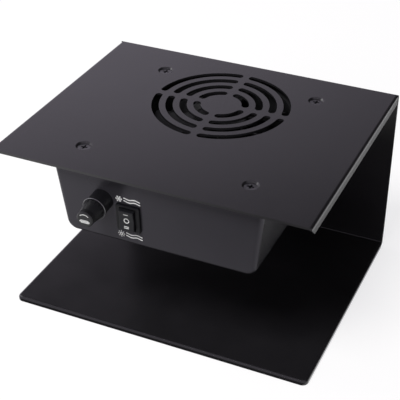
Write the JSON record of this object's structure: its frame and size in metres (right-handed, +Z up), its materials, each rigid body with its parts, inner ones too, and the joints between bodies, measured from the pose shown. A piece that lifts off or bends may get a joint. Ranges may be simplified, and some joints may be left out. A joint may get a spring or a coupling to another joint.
{
  "type": "nail dryer",
  "caption": "Folded sheet metal nail dryer with a fan and heater housing under its slotted lid, a three-position rocker switch and a panel fuse holder.",
  "frame": {"origin": "centre of the whole object's footprint, on the surface that its feet stand on", "axes": "+X to the user's right along the folded stand's width, -Y to the open front and the switch panel, +Z up"},
  "size_m": [0.2, 0.1828, 0.119],
  "materials": {
    "coated_steel": "fine matt black powder coat",
    "housing_black": "fine textured black",
    "foot_rubber": "matt",
    "screw_steel": "zinc plated",
    "fan_plastic": "moulded",
    "switch_plastic": "satin",
    "holder_plastic": "satin",
    "bearing_steel": "ground",
    "lamination": "stamped sheet",
    "copper_winding": "enamelled wire",
    "ferrite": "moulded magnet",
    "heater_aluminium": "rolled",
    "heater_frame": "heat resistant",
    "contact_brass": "tinned",
    "cutout_case": "moulded",
    "fuse_glass": "clear",
    "fuse_metal": "nickel plated",
    "gland_plastic": "moulded nylon",
    "board_laminate": "glass laminate",
    "transformer_tape": "taped winding",
    "capacitor_sleeve": "shrink sleeve"
  },
  "bodies": {
    "body": {"frame_shell": "coated_steel", "rubber_feet": "foot_rubber", "housing": "housing_black", "housing_screws": "screw_steel", "fan_frame": "fan_plastic", "fan_screws": "screw_steel", "fan_bearings": "bearing_steel", "motor_board": "board_laminate", "stator_core": "lamination", "stator_coils": "copper_winding", "heat_tubes": "heater_aluminium", "heater_fins": "heater_aluminium", "heater_ends": "heater_frame", "heater_terminals": "contact_brass", "heater_screws": "screw_steel", "thermal_cutout": "cutout_case", "switch_body": "switch_plastic", "switch_terminals": "contact_brass", "fuse_body": "holder_plastic", "fuse_terminals": "contact_brass", "fuse_nut": "holder_plastic", "cord_gland": "gland_plastic", "gland_nut": "gland_plastic", "supply_board": "board_laminate", "transformer": "transformer_tape", "capacitors": "capacitor_sleeve", "board_screws": "screw_steel"},
    "rotor": {"fan_rotor": "fan_plastic", "rotor_magnet": "ferrite", "rotor_shaft": "bearing_steel", "shaft_clip": "fan_plastic"},
    "rocker": {"rocker": "switch_plastic"},
    "fuse": {"fuse_glass": "fuse_glass", "fuse_ends": "fuse_metal", "fuse_link": "fuse_metal"},
    "fuse_cap": {"fuse_cap": "holder_plastic"}
  },
  "joints": [
    {"name": "rotor_spin", "type": "hinge", "parent": "body", "child": "rotor", "pos_m": [0.0015, 0.03142, 0.0889], "axis": [0, 0, 1], "continuous": true},
    {"name": "rocker_tilt", "type": "hinge", "parent": "body", "child": "rocker", "pos_m": [-0.01245, -0.06595, 0.09088], "axis": [1, 0, 0], "range_deg": [-9, 9]},
    {"name": "fuse_pull", "type": "slide", "parent": "body", "child": "fuse", "axis": [0, -0.9981, -0.061], "range_m": [0, 0.032]},
    {"name": "fuse_cap_turn", "type": "hinge", "parent": "fuse", "child": "fuse_cap", "pos_m": [-0.029, -0.06948, 0.0994], "axis": [0, -0.9981, -0.061], "range_deg": [-90, 0]}
  ]
}
